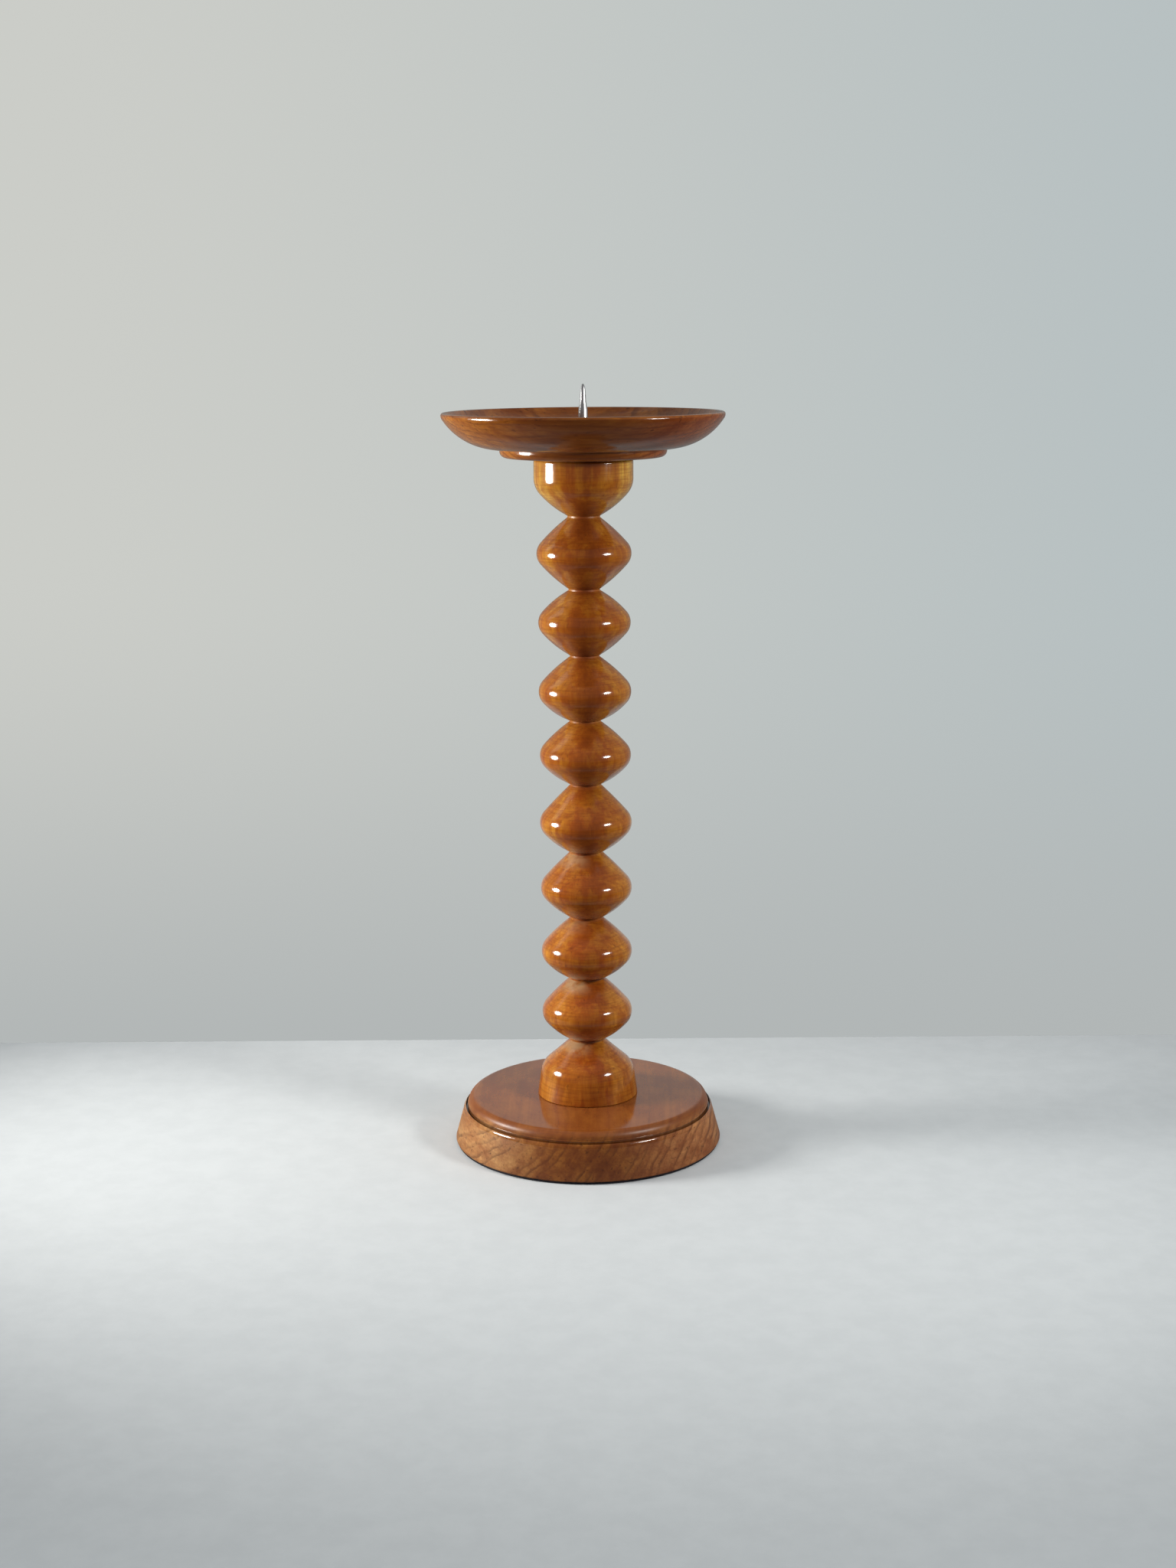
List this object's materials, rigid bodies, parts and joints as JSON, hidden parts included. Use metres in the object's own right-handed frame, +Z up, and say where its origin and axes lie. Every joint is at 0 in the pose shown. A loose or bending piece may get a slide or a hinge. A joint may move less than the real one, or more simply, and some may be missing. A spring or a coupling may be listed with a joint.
{
  "type": "pricket candle stand",
  "caption": "Turned wooden candle stand: a moulded round base under baize, a stem of bobbin-turned beads, and a shallow drip dish with a steel pricket for a candle.",
  "frame": {"origin": "middle of the underside, on the surface that the stand rests on", "axes": "+Z up along the turning axis; the stand is round about it, so +X and +Y are free"},
  "size_m": [0.14, 0.14, 0.3888],
  "materials": {
    "baize": "napped cloth",
    "red_wood": "gloss varnish",
    "amber_wood": "gloss varnish",
    "bright_steel": "polished",
    "plain_steel": "bright zinc"
  },
  "bodies": {
    "root": {"base_baize": "baize", "base": "red_wood", "stem": "amber_wood", "dish": "red_wood", "pricket": "bright_steel", "base_screw": "plain_steel"}
  },
  "joints": []
}
